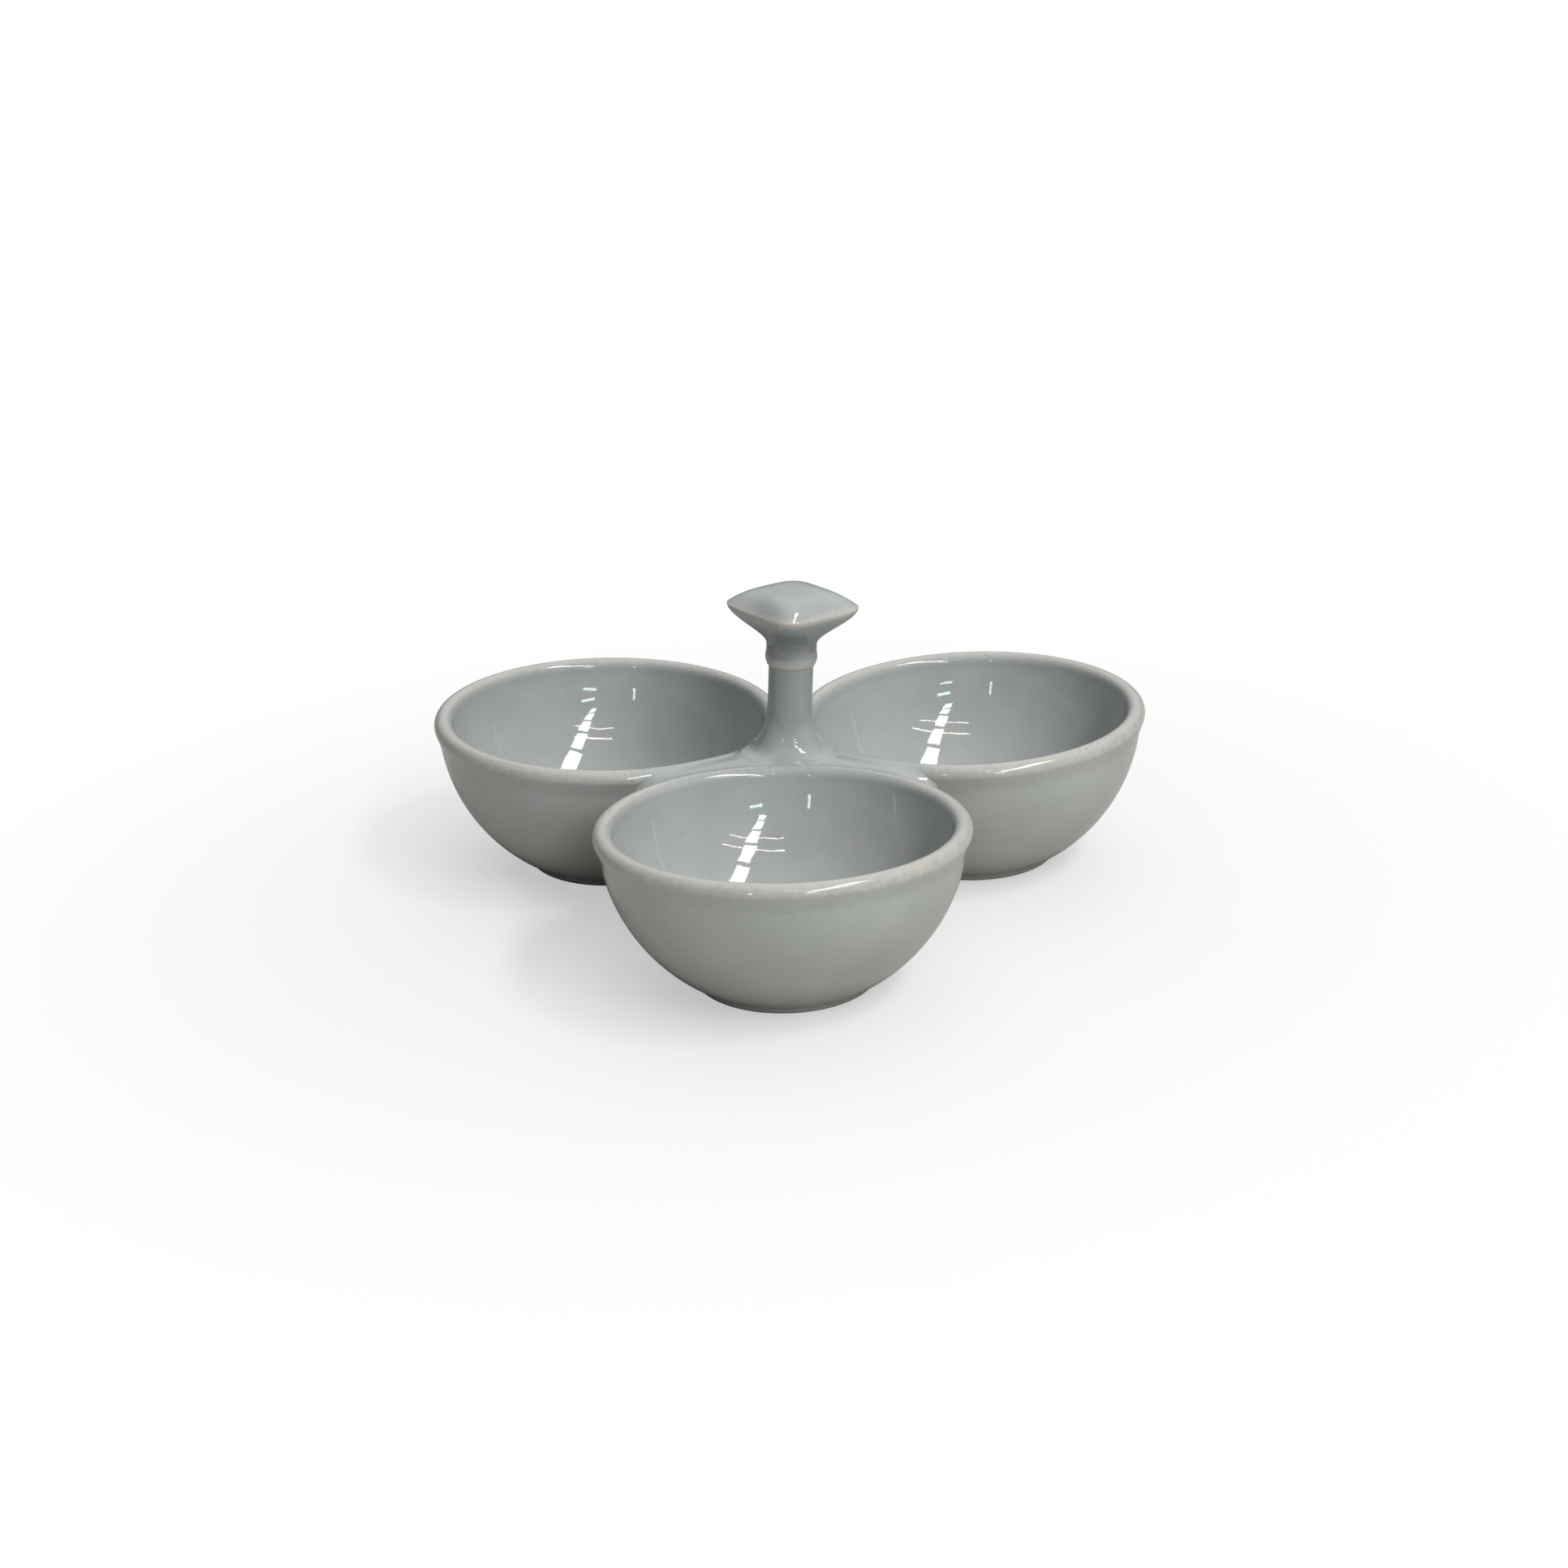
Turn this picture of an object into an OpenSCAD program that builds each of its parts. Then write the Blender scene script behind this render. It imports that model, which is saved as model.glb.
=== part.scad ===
// Divided serving bowl: three glazed stoneware dip bowls in a trefoil, joined by a saddle and webs,
// with a lifting handle that stands on the saddle.
// Millimetres, +Z up. The feet stand on z = 0 and the front bowl faces -Y.
// The origin is at table level, under the middle of the whole outline.

/* [Bowls] */
// Outer diameter of each bowl over its rolled rim
rim_d = 120; // [100:1:150]
// Height of the rim's crest over the table, at the middle of a bowl
rim_h = 54; // [44:0.5:70]
// How far the rolled rim stands proud of the wall below it
rim_lip = 1.4; // [0.5:0.1:2]
// Thickness of the rolled rim
rim_bead_d = 6.2; // [5:0.1:9]
// Tilt of each rim, lower at the handle and higher outside, in degrees
rim_tilt = 1.9; // [0:0.1:4]
// Thickness of the wall below the rim
wall_t = 4.5; // [3.5:0.1:6]
// How far the hollow's centre lies above the body's, which thickens the lower wall
hollow_rise = 2.9; // [1:0.1:4]
// Radius of the shallow dish in the hollow's floor
floor_r = 120; // [80:5:200]
// Thickness of the clay between the foot's recess and the hollow
base_t = 4.8; // [3:0.1:8]
// Gap between neighbouring rims, which the webs fill
rim_gap = 5; // [3:0.5:10]

/* [Foot rings] */
// Outer diameter of the foot ring
foot_d = 58.4; // [40:0.2:72]
// Width of the foot ring's section
foot_w = 5.2; // [3:0.1:8]
// Height of the foot ring
foot_h = 2.2; // [1.8:0.1:5]
// Height and width that the rounding takes off the ring's lower corners
foot_round = 1.4; // [0.4:0.1:1.4]
// How far the body stands out over the foot ring
foot_inset = 0.5; // [0.1:0.1:2]

/* [Saddle and webs] */
// How far the saddle and webs lie below the lowest point of the rims' crests
web_drop = 0.7; // [0.4:0.1:1.5]
// Thickness of the saddle between the three bowls
saddle_t = 12; // [10:0.5:20]
// Thickness of the web between two bowls
web_t = 8; // [5:0.5:10]
// How far a web reaches outward from the line between its two bowls' centres
web_reach = 19; // [10:0.5:22]
// Radius of the hollow that ends a web
web_end_r = 12; // [10:0.5:16]
// How much wider that hollow is under the web than at its top
web_rake = 4; // [1:0.5:6]

/* [Handle stem] */
// Lean of the whole handle towards +X, in degrees
handle_lean = 2.8; // [0:0.1:4]
// Diameter of the stem
stem_d = 15; // [12:0.5:18]
// Height of the stem over the saddle, up to the collar
stem_h = 30; // [24:0.5:45]
// Radius of the sweep from the stem out to the saddle
flare_r = 14; // [12:0.5:20]
// How far the stem's spread foot laps over the crests of the rims
foot_lap = 1.2; // [0.6:0.1:2]
// Diameter of the tenon that sits in the saddle
tenon_d = 11; // [8:0.5:12]
// Length of the tenon below the saddle's top
tenon_l = 9; // [6:0.5:9.5]
// Diameter of the spigot that passes through the collar into the knob
spigot_d = 10; // [7:0.5:11]

/* [Collar] */
// Diameter over the collar's bead
collar_d = 17.6; // [16:0.1:22]
// Diameter of the neck above the bead
neck_d = 16.8; // [15.5:0.1:21]
// Height of the collar
collar_h = 8; // [6:0.1:12]
// Thickness of the bead
collar_bead_d = 4.8; // [3:0.1:5.5]

/* [Knob] */
// Width of the knob from corner to corner
knob_d = 43.6; // [34:0.2:52]
// Height of the knob's edge over the collar
knob_edge_h = 13.5; // [12:0.5:20]
// Rise of the cushion-shaped top over the edge
knob_crown = 6; // [2:0.1:8]
// Depth of the knob's socket for the spigot
socket_l = 8; // [5:0.5:9]
// Turn of the knob about the stem, in degrees
knob_turn = -3; // [-45:1:45]
// Squareness of the knob's outline, where 2 is a circle
knob_square = 7; // [3:0.5:9]
// Sharpness of the sweep from the neck out to the knob's edge
knob_sweep = 1.05; // [0.8:0.05:1.6]

/* [Hidden] */
$fn = 96;

glaze = [0.60, 0.63, 0.62];
glaze_blue = [0.63, 0.67, 0.69];
bare_clay = [0.74, 0.68, 0.60];

// Directions of the bowls round the handle, and of the webs between them
front_dir = -90;
right_dir = 30;
left_dir = 150;
right_web_dir = -30;
back_web_dir = 90;
left_web_dir = 210;

// One overrun serves every cut
overrun = 2;

// Body: a ball on the bowl's axis, through the wall's top under the rim and the foot ring's top
bead_r = rim_bead_d / 2;
bead_z = rim_h - bead_r;
bead_c = rim_d / 2 - bead_r;
top_r = rim_d / 2 - rim_lip;
bottom_r = foot_d / 2 + foot_inset;
body_z = (top_r ^ 2 - bottom_r ^ 2 + bead_z ^ 2 - foot_h ^ 2) / (2 * (bead_z - foot_h));
body_r = norm([bottom_r, body_z - foot_h]);
hollow_r = body_r - wall_t;
hollow_z = body_z + hollow_rise;
floor_z = foot_h + base_t;

// Distance of a bowl's axis from the handle, and of the origin from the handle
pitch_r = (rim_d + rim_gap) / (2 * sin(60));
stand_y = pitch_r * (1 - sin(30)) / 2;

// Saddle and webs: their top, and the saddle's underside, about which the handle leans
web_z = rim_h - bead_c * sin(rim_tilt) - web_drop;
saddle_z = web_z - saddle_t;
web_start = pitch_r * cos(60);
web_end = web_start + web_reach;

// Handle, in heights along its own axis over the saddle's underside
stem_foot_r = pitch_r - bead_c + foot_lap;
shoulder_h = saddle_t + stem_h;
neck_h = shoulder_h + collar_h;
knob_sides = 48;
sweep_steps = 9;
crown_steps = 6;

// The bowl's outer half section: the ball below the rim's middle, and the rolled rim
module outer_section() {
    intersection() {
        translate([0, body_z]) circle(body_r);
        translate([0, body_z - body_r - overrun]) square([rim_d, bead_z - body_z + body_r + overrun]);
    }
    translate([bead_c, bead_z]) circle(bead_r);
}

// The hollow's half section: a ball with a shallow dished floor
module hollow_section() {
    intersection() {
        translate([0, hollow_z]) circle(hollow_r);
        translate([0, floor_z + floor_r]) circle(floor_r);
        translate([0, -overrun]) square([rim_d, hollow_z + hollow_r]);
    }
}

// Carries a bowl out to its place; the rim tilts about the ball's centre, so the body keeps its form
module at_bowl(direction) {
    translate([0, stand_y, 0]) rotate(direction) translate([pitch_r, 0, body_z]) rotate([0, -rim_tilt, 0])
        translate([0, 0, -body_z]) children();
}

// Everything below the flat on which the foot ring is stuck
module under_bowls() {
    translate([0, 0, foot_h - body_r]) cylinder(r = pitch_r + rim_d, h = body_r);
}

// A bowl with its hollow filled to over the rim, for the cuts that fit round it
module bowl_form(direction) {
    at_bowl(direction) rotate_extrude() {
        outer_section();
        translate([0, bead_z - overrun]) square([bead_c - bead_r / 2, bead_r + 2 * overrun]);
    }
}

// One bowl, cut flat underneath
module bowl(direction) {
    color(glaze) difference() {
        at_bowl(direction) rotate_extrude() difference() {
            outer_section();
            hollow_section();
        }
        under_bowls();
    }
}

// One foot ring, its lower corners rounded by one circle
module foot_ring(direction) {
    mid_r = (foot_d - foot_w) / 2;
    color(bare_clay) translate([0, stand_y, 0]) rotate(direction) translate([pitch_r, 0, 0])
        rotate_extrude() intersection() {
            translate([mid_r - foot_w / 2, 0]) square([foot_w, foot_h]);
            translate([mid_r, foot_w / 2]) circle(norm([foot_w / 2 - foot_round, foot_w / 2]));
        }
}

// The three bowls' filled forms, as one cut
module all_bowl_forms() {
    for (direction = [front_dir, right_dir, left_dir]) bowl_form(direction);
}

// Carries handle pieces to the saddle's underside and leans them
module at_handle() {
    translate([0, stand_y, saddle_z]) rotate([0, handle_lean, 0]) children();
}

// The tenon, which also cuts its socket in the saddle
module tenon() {
    at_handle() translate([0, 0, saddle_t - tenon_l]) cylinder(d = tenon_d, h = tenon_l + overrun);
}

// Saddle: a three-cornered block between the bowls' centres, fitted round the bowls
module centre_saddle() {
    color(glaze_blue) difference() {
        translate([0, stand_y, saddle_z]) rotate(front_dir) cylinder(r = pitch_r, h = saddle_t, $fn = 3);
        all_bowl_forms();
        tenon();
    }
}

// Web: fills the valley between two rims outward of the saddle, and ends in a raked hollow
module web(direction) {
    color(glaze_blue) difference() {
        translate([0, stand_y, web_z - web_t]) rotate(direction) translate([web_start, -web_end_r, 0])
            cube([web_reach + web_end_r / 2, 2 * web_end_r, web_t]);
        all_bowl_forms();
        translate([0, stand_y, web_z - web_t]) rotate(direction) translate([web_end + web_end_r, 0, 0])
            web_end_cut();
    }
}

// The hollow that ends a web: a cone through the web's whole thickness and the overrun at both faces
module web_end_cut() {
    slope = web_rake / web_t;
    translate([0, 0, -overrun]) cylinder(
        r1 = web_end_r + web_rake + slope * overrun,
        r2 = web_end_r - slope * overrun,
        h = web_t + 2 * overrun
    );
}

// Stem: a round bar that sweeps out over the saddle and the rims, with a tenon and a spigot
module handle_stem() {
    color(glaze_blue) {
        difference() {
            at_handle() rotate_extrude() {
                difference() {
                    translate([0, saddle_t - overrun]) square([stem_foot_r, flare_r + overrun]);
                    translate([stem_d / 2 + flare_r, saddle_t + flare_r]) circle(flare_r);
                }
                translate([0, saddle_t + flare_r]) square([stem_d / 2, stem_h - flare_r]);
                translate([0, shoulder_h - overrun]) square([spigot_d / 2, overrun + collar_h + socket_l]);
            }
            translate([0, stand_y, saddle_z]) cylinder(r = pitch_r, h = saddle_t);
            all_bowl_forms();
        }
        tenon();
    }
}

// Collar: a rolled ring over the joint between stem and knob, with the neck above it
module stem_collar() {
    color(glaze_blue) at_handle() rotate_extrude() {
        bead_mid = (collar_d - collar_bead_d) / 2;
        difference() {
            union() {
                translate([0, shoulder_h + collar_bead_d / 2])
                    square([neck_d / 2, collar_h - collar_bead_d / 2]);
                translate([bead_mid, shoulder_h + collar_bead_d / 2]) circle(d = collar_bead_d);
                translate([0, shoulder_h]) square([bead_mid, collar_bead_d]);
            }
            translate([0, shoulder_h - overrun]) square([spigot_d / 2, collar_h + 2 * overrun]);
        }
    }
}

// Knob outline: a rounded square with its corners on the axes, as a share of its corner radius
function ease(t) = t * t * (3 - 2 * t);
function square_share(a, n) =
    2 ^ (1 / n - 1 / 2) / (abs(cos(a - 45)) ^ n + abs(sin(a - 45)) ^ n) ^ (1 / n);
function knob_ring(r, h, n) = [
    for (i = [0 : knob_sides - 1])
        let (a = 360 * i / knob_sides, p = r * square_share(a, n))
            [p * cos(a), p * sin(a), h]
];

// Knob section: an eased sweep from the round neck to the square edge, then the crown
function knob_radius(t) = neck_d / 2 + (knob_d - neck_d) / 2 * ease(t) ^ knob_sweep;
function knob_power(t) = 2 + (knob_square - 2) * ease(t);
knob_rings = concat(
    [for (i = [0 : sweep_steps])
        let (t = i / sweep_steps) knob_ring(knob_radius(t), knob_edge_h * t, knob_power(t))],
    [for (i = [1 : crown_steps - 1])
        let (a = 90 * i / crown_steps)
            knob_ring(knob_d / 2 * cos(a), knob_edge_h + knob_crown * sin(a), knob_power(cos(a)))]
);

// Knob: a cushion-topped square cap with a socket for the stem's spigot
module handle_knob() {
    rings = len(knob_rings);
    top_point = rings * knob_sides;
    last_ring = top_point - knob_sides;
    points = concat([for (ring = knob_rings) for (p = ring) p], [[0, 0, knob_edge_h + knob_crown]]);
    sides = [
        for (k = [0 : rings - 2]) for (i = [0 : knob_sides - 1])
            let (j = (i + 1) % knob_sides, a = k * knob_sides, b = a + knob_sides)
                each [[a + i, b + j, a + j], [a + i, b + i, b + j]]
    ];
    top = [for (i = [0 : knob_sides - 1]) [last_ring + i, top_point, last_ring + (i + 1) % knob_sides]];
    bottom = [[for (i = [0 : knob_sides - 1]) i]];
    color(glaze_blue) at_handle() translate([0, 0, neck_h]) rotate(knob_turn) difference() {
        polyhedron(points, concat(sides, top, bottom), convexity = 4);
        translate([0, 0, -overrun]) cylinder(d = spigot_d, h = socket_l + overrun);
    }
}

bowl(front_dir);  // front_bowl
bowl(right_dir);  // right_bowl
bowl(left_dir);  // left_bowl
foot_ring(front_dir);  // front_foot_ring
foot_ring(right_dir);  // right_foot_ring
foot_ring(left_dir);  // left_foot_ring
centre_saddle();
web(right_web_dir);  // right_web
web(back_web_dir);  // back_web
web(left_web_dir);  // left_web
handle_stem();
stem_collar();
handle_knob();
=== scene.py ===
"""Divided serving bowl: three glazed stoneware dip bowls in a trefoil, with a saddle and a lifting handle."""
import bpy
import numpy as np
from mathutils import Matrix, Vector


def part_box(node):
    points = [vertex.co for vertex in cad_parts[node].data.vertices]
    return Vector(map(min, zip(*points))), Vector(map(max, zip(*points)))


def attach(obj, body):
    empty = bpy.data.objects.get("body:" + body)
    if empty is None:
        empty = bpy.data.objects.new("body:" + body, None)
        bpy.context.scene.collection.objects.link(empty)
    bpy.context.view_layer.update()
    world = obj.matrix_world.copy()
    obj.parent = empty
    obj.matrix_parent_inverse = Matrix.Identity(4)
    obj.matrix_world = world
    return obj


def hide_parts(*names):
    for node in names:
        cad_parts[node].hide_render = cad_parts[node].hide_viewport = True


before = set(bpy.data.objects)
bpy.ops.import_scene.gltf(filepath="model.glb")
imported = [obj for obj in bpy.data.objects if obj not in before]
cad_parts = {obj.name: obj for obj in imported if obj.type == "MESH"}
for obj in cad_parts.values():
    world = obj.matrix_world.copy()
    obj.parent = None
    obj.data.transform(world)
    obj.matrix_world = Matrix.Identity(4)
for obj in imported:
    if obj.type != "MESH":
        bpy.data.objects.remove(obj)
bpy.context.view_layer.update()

# Bowls. Three thrown stoneware dip bowls with a rolled rim, dipped in a grey-blue glaze that runs thin on
# the rims and breaks to beige there. Each rim rises a little towards its outer side, and the bowls were
# luted together while leather-hard.
bowl_dirs = {"front": -90.0, "right": 30.0, "left": 150.0}
rim_r = 0.05997
rim_h = 0.054
rim_lip = 0.0014
rim_lean = np.radians(1.9)
lean_from, lean_to = 0.004, 0.030
bead_r = 0.0031
bead_c = rim_r - bead_r
bead_z = rim_h - bead_r
bead_in, bead_out = 150.0, -22.0
bead_margin = 1.02
wall_t = 0.0045
wall_join_z = 0.0438
hollow_rise = 0.0029
hollow_join_z = 0.0492
floor_r = 0.120
floor_z = 0.007
cove_r = 0.020
foot_r = 0.0295
foot_h = 0.0027
foot_inset = 0.0002
break_angle = 106.0
# Below the crest on the outside the beige runs far down the bead: partly the glaze's own break, partly
# painted light on the bead's lower side.
break_in, break_and_painted_light_out = 0.0021, 0.0070
shoulder_break, shoulder_width = 0.28, 0.0011
# Painted shade: the glaze's tone darkens towards the foot, most at the table and fading out up the wall.
foot_shade, foot_shade_h = 0.6, 0.012
lap_dip = {"front": 0.0003, "right": 0.0016, "left": 0.0016}
lap_angle = np.radians(16.0)
web_break = {"front": 0.55, "right": 0.12, "left": 0.12}
web_from, web_to = np.radians([36.0, 54.0])
bowl_steps = 256
bowl_counts = {"floor": 16, "cove": 12, "hollow": 40, "lip": 5,
               "rim": 34, "shoulder": 8, "wall": 52, "base": 10}

# The body is a ball through the wall's top under the rim and the foot's top edge; the hollow is a smaller
# ball, a little higher.
wall_r = rim_r - rim_lip
base_r = foot_r + foot_inset
body_z = (wall_r ** 2 - base_r ** 2 + bead_z ** 2 - foot_h ** 2) / (2 * (bead_z - foot_h))
body_r = np.hypot(base_r, body_z - foot_h)
hollow_r = body_r - wall_t
hollow_z = body_z + hollow_rise


def middle(node):
    """Centre of a CAD node's box, as an array."""
    low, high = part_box(node)
    return (np.array(low) + np.array(high)) / 2


bowl_axes = {side: middle(f"{side}_foot_ring")[:2] for side in bowl_dirs}
handle_axis = sum(bowl_axes.values()) / len(bowl_axes)
pitch_r = np.mean([np.linalg.norm(axis - handle_axis) for axis in bowl_axes.values()])


def arc(centre, radius, start, end, count):
    """Points (r, z) on a circle from one angle to another in degrees, with 0 pointing outward and 90 up."""
    a = np.radians(np.linspace(start, end, count))
    return np.column_stack([centre[0] + radius * np.cos(a), centre[1] + radius * np.sin(a)])


def sweep(start, start_dir, end, end_dir, count):
    """Cubic curve between two points (r, z), without its ends; it leaves and arrives along two directions."""
    t = np.linspace(0, 1, count + 2)[1:-1, None]
    start, end = np.array(start), np.array(end)
    reach = np.linalg.norm(end - start)
    d0, d1 = (np.array(d) / np.linalg.norm(d) * reach for d in (start_dir, end_dir))
    keep, come = 2 * t ** 3 - 3 * t ** 2 + 1, 3 * t ** 2 - 2 * t ** 3
    return keep * start + come * end + (t ** 3 - 2 * t ** 2 + t) * d0 + (t ** 3 - t ** 2) * d1


def eased(x, low, high):
    """0 below low, 1 above high, and a smooth S between them."""
    t = np.clip((x - low) / (high - low), 0, 1)
    return t * t * (3 - 2 * t)


def skin(rows, first_pole=None, last_pole=None, closed=False):
    """Vertices and faces over rows of points that go round, with fans to the poles or joined end to start."""
    count, around = rows.shape[:2]
    a = np.arange(count if closed else count - 1)[:, None] * around
    b = (a + around) % (count * around)
    j = np.arange(around)[None, :]
    k = (j + 1) % around
    faces = np.stack([a + j, b + j, b + k, a + k], -1).reshape(-1, 4).tolist()
    points = rows.reshape(-1, 3)
    j, k = j[0], k[0]
    if first_pole is not None:
        faces += np.stack([np.full(around, len(points)), j, k], -1).tolist()
        points = np.vstack([points, first_pole])
    if last_pole is not None:
        end = (count - 1) * around
        faces += np.stack([end + j, np.full(around, len(points)), end + k], -1).tolist()
        points = np.vstack([points, last_pole])
    return points, faces


def add_piece(name, points, faces, material, nodes, slot, **masks):
    """A smooth mesh that rides on the fired body and stands for CAD nodes; masks become point attributes."""
    mesh = bpy.data.meshes.new(name)
    mesh.from_pydata(points.tolist(), [], faces)
    for mask, values in masks.items():
        attribute = mesh.attributes.new(mask, "FLOAT", "POINT")
        attribute.data.foreach_set("value", np.ravel(values).astype(np.float32))
    mesh.shade_smooth()
    mesh.materials.append(material)
    piece = bpy.data.objects.new(name, mesh)
    bpy.context.scene.collection.objects.link(piece)
    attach(piece, "root")
    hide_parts(*nodes)


def bowl_section():
    """Half section from the floor's middle up the hollow, over the rim, down the wall and under the base.

    The floor is a shallow ball that a cove joins to the hollow's ball, the rim is a bead and the wall a ball,
    and cubic curves join the bead to both. Returns the points (r, z), the share of the rim's lean that each
    takes, and the mask of thin glaze and painted shade, which is negative low on the wall, where it paints
    the wall darker towards the foot."""
    dish = (0, floor_z + floor_r)
    ball, body, bead = (0, hollow_z), (0, body_z), (bead_c, bead_z)
    to_dish, to_ball = floor_r - cove_r, hollow_r - cove_r
    cove_z = (to_dish ** 2 - to_ball ** 2 - dish[1] ** 2 + hollow_z ** 2) / (2 * (hollow_z - dish[1]))
    cove = (np.sqrt(to_ball ** 2 - (cove_z - hollow_z) ** 2), cove_z)
    dish_end = np.degrees(np.arctan2(cove_z - dish[1], cove[0]))
    ball_start = np.degrees(np.arctan2(cove_z - hollow_z, cove[0]))
    ball_end = np.degrees(np.arcsin((hollow_join_z - hollow_z) / hollow_r))
    body_start = np.degrees(np.arcsin((wall_join_z - body_z) / body_r))
    body_end = np.degrees(np.arctan2(foot_h - body_z, base_r))
    inner = arc(ball, hollow_r, ball_start, ball_end, bowl_counts["hollow"])
    rim = arc(bead, bead_r, bead_in, bead_out, bowl_counts["rim"])
    outer = arc(body, body_r, body_start, body_end, bowl_counts["wall"])
    base = np.linspace(base_r, 0, bowl_counts["base"])[1:-1]
    parts = [
        arc(dish, floor_r, -90, dish_end, bowl_counts["floor"])[1:],
        arc(cove, cove_r, dish_end, ball_start, bowl_counts["cove"])[1:-1],
        inner,
        sweep(inner[-1], inner[-1] - inner[-2], rim[0], rim[1] - rim[0], bowl_counts["lip"]),
        rim,
        sweep(rim[-1], rim[-1] - rim[-2], outer[0], outer[1] - outer[0], bowl_counts["shoulder"]),
        outer,
        np.column_stack([base, np.full_like(base, foot_h)]),
    ]
    points = np.vstack(parts)
    length = np.concatenate([[0], np.cumsum(np.linalg.norm(np.diff(points, axis=0), axis=1))])
    rim_at = sum(len(p) for p in parts[:4])
    wall_at = sum(len(p) for p in parts[:6])
    crest = np.argmin(np.abs(np.linspace(bead_in, bead_out, len(rim)) - break_angle)) + rim_at
    off_crest = length - length[crest]
    thin = np.exp(-(off_crest / np.where(off_crest < 0, break_in, break_and_painted_light_out)) ** 2)
    thin += shoulder_break * np.exp(-((length - length[wall_at]) / shoulder_width) ** 2)
    # Painted shade: the mask goes negative towards the foot, which darkens the tone there.
    thin[wall_at:] -= foot_shade * np.exp(-(points[wall_at:, 1] / foot_shade_h) ** 2)
    lean = np.ones(len(points))
    lean[wall_at:] = eased(points[wall_at:, 1], lean_from, lean_to)
    return points, lean, thin


def bowl_rows(side):
    """The half section turned round the bowl's axis; it leans about the ball's centre, so the ball stays put.

    Beside the handle the rim dips smoothly, where the stem's foot was worked over it. Returns the rows, the
    poles of the hollow's floor and of the base, and the mask of thin glaze and painted shade."""
    section, lean, thin = bowl_section()
    turn = np.linspace(0, 2 * np.pi, bowl_steps, endpoint=False)
    r, z = section[:, :1], section[:, 1:]
    from_handle = np.abs(turn - np.pi)
    on_bead = np.hypot(r - bead_c, z - bead_z) < bead_margin * bead_r
    over_bead = eased(z, bead_z - bead_r, bead_z + bead_r / 2) * on_bead
    z = z - lap_dip[side] * np.exp(-(from_handle / lap_angle) ** 2) * over_bead
    x, y, rise = r * np.cos(turn), r * np.sin(turn), z - body_z
    tilt = lean[:, None] * rim_lean
    x, z = x * np.cos(tilt) - rise * np.sin(tilt), body_z + x * np.sin(tilt) + rise * np.cos(tilt)
    a = np.radians(bowl_dirs[side])
    axis = handle_axis + pitch_r * np.array([np.cos(a), np.sin(a)])

    def placed(out, across, height):
        """Points by their way out from the bowl's axis, across it, and their height."""
        east = axis[0] + out * np.cos(a) - across * np.sin(a)
        north = axis[1] + out * np.sin(a) + across * np.cos(a)
        return np.stack([east, north, height], -1)

    depth = body_z - floor_z
    floor_pole = placed(depth * np.sin(rim_lean), 0, body_z - depth * np.cos(rim_lean))
    base_pole = placed(0, 0, foot_h)
    kept = web_break[side] + (1 - web_break[side]) * eased(from_handle, web_from, web_to)
    masks = np.minimum(thin, 0)[:, None] + np.maximum(thin, 0)[:, None] * kept
    return placed(x, y, z), floor_pole, base_pole, masks


glaze_body = (0.436, 0.444, 0.434, 1.0)
glaze_break = (0.58, 0.53, 0.475, 1.0)
glaze_speck = (0.19, 0.135, 0.105, 1.0)
glaze_ior = 1.52
off_on, on_off = (0.0, 1.0), (1.0, 0.0)
cloud_span, cloud_tone, cloud_gloss = (0.3, 0.7), (0.955, 1.03), (0.022, 0.045)
grain_span, grain_tone, grain_height = (0.25, 0.75), (-0.02, 0.02), 0.03
# Painted shade: a negative mask darkens the glaze's tone, down to 0.6 of it.
shade_span, shade_tone = (-1.0, 0.0), (0.6, 1.0)
fray_span, fray_shift = (0.3, 0.7), (-0.22, 0.22)
edge_span, edge_share, edge_start, edge_rough = (0.22, 1.0), (0.0, 0.8), (0.02, 0.2), 0.025
speck_size, speck_pick, speck_share, pinhole = (0.025, 0.05), (0.72, 0.76), 0.55, 0.5
spot_size, spot_pick = (0.22, 0.42), (0.55, 0.75)
rust_span, rust_share = (0.5, 0.62), (0.0, 0.55)
peel_strength, peel_height = 0.35, 0.00022


def link(tree, *pairs):
    """Joins output and input sockets in order: from, to, from, to."""
    for start, end in zip(pairs[::2], pairs[1::2]):
        tree.links.new(start, end)


def feed(tree, value, entry):
    """Links an output socket to an entry, or sets the entry to a number or colour."""
    if hasattr(value, "links"):
        tree.links.new(value, entry)
    else:
        entry.default_value = value


def new_node(tree, kind, sockets=(), **settings):
    """A node of a tree; sockets gives its inputs' values by name or number, and settings its properties."""
    node = tree.nodes.new(kind)
    for key, value in settings.items():
        setattr(node, key, value)
    for key, value in dict(sockets).items():
        node.inputs[key].default_value = value
    return node


def span(tree, value, source, target, curve="SMOOTHSTEP"):
    """Output that maps a value's source span onto the target span, by a smooth step or in a straight line."""
    sockets = dict(enumerate((*source, *target), start=1))
    node = new_node(tree, "ShaderNodeMapRange", sockets, interpolation_type=curve)
    link(tree, value, node.inputs[0])
    return node.outputs[0]


def calc(tree, operation, *values):
    """Output of one operation on values, where each is a socket or a number."""
    node = new_node(tree, "ShaderNodeMath", operation=operation)
    for slot, value in enumerate(values):
        feed(tree, value, node.inputs[slot])
    return node.outputs[0]


def mix(tree, factor, first, second, blend="MIX"):
    """Colour output of two colours by a factor, where each is a socket or a value."""
    node = new_node(tree, "ShaderNodeMix", data_type="RGBA", blend_type=blend)
    for slot, value in zip((0, 6, 7), (factor, first, second)):
        feed(tree, value, node.inputs[slot])
    return node.outputs[2]


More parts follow.
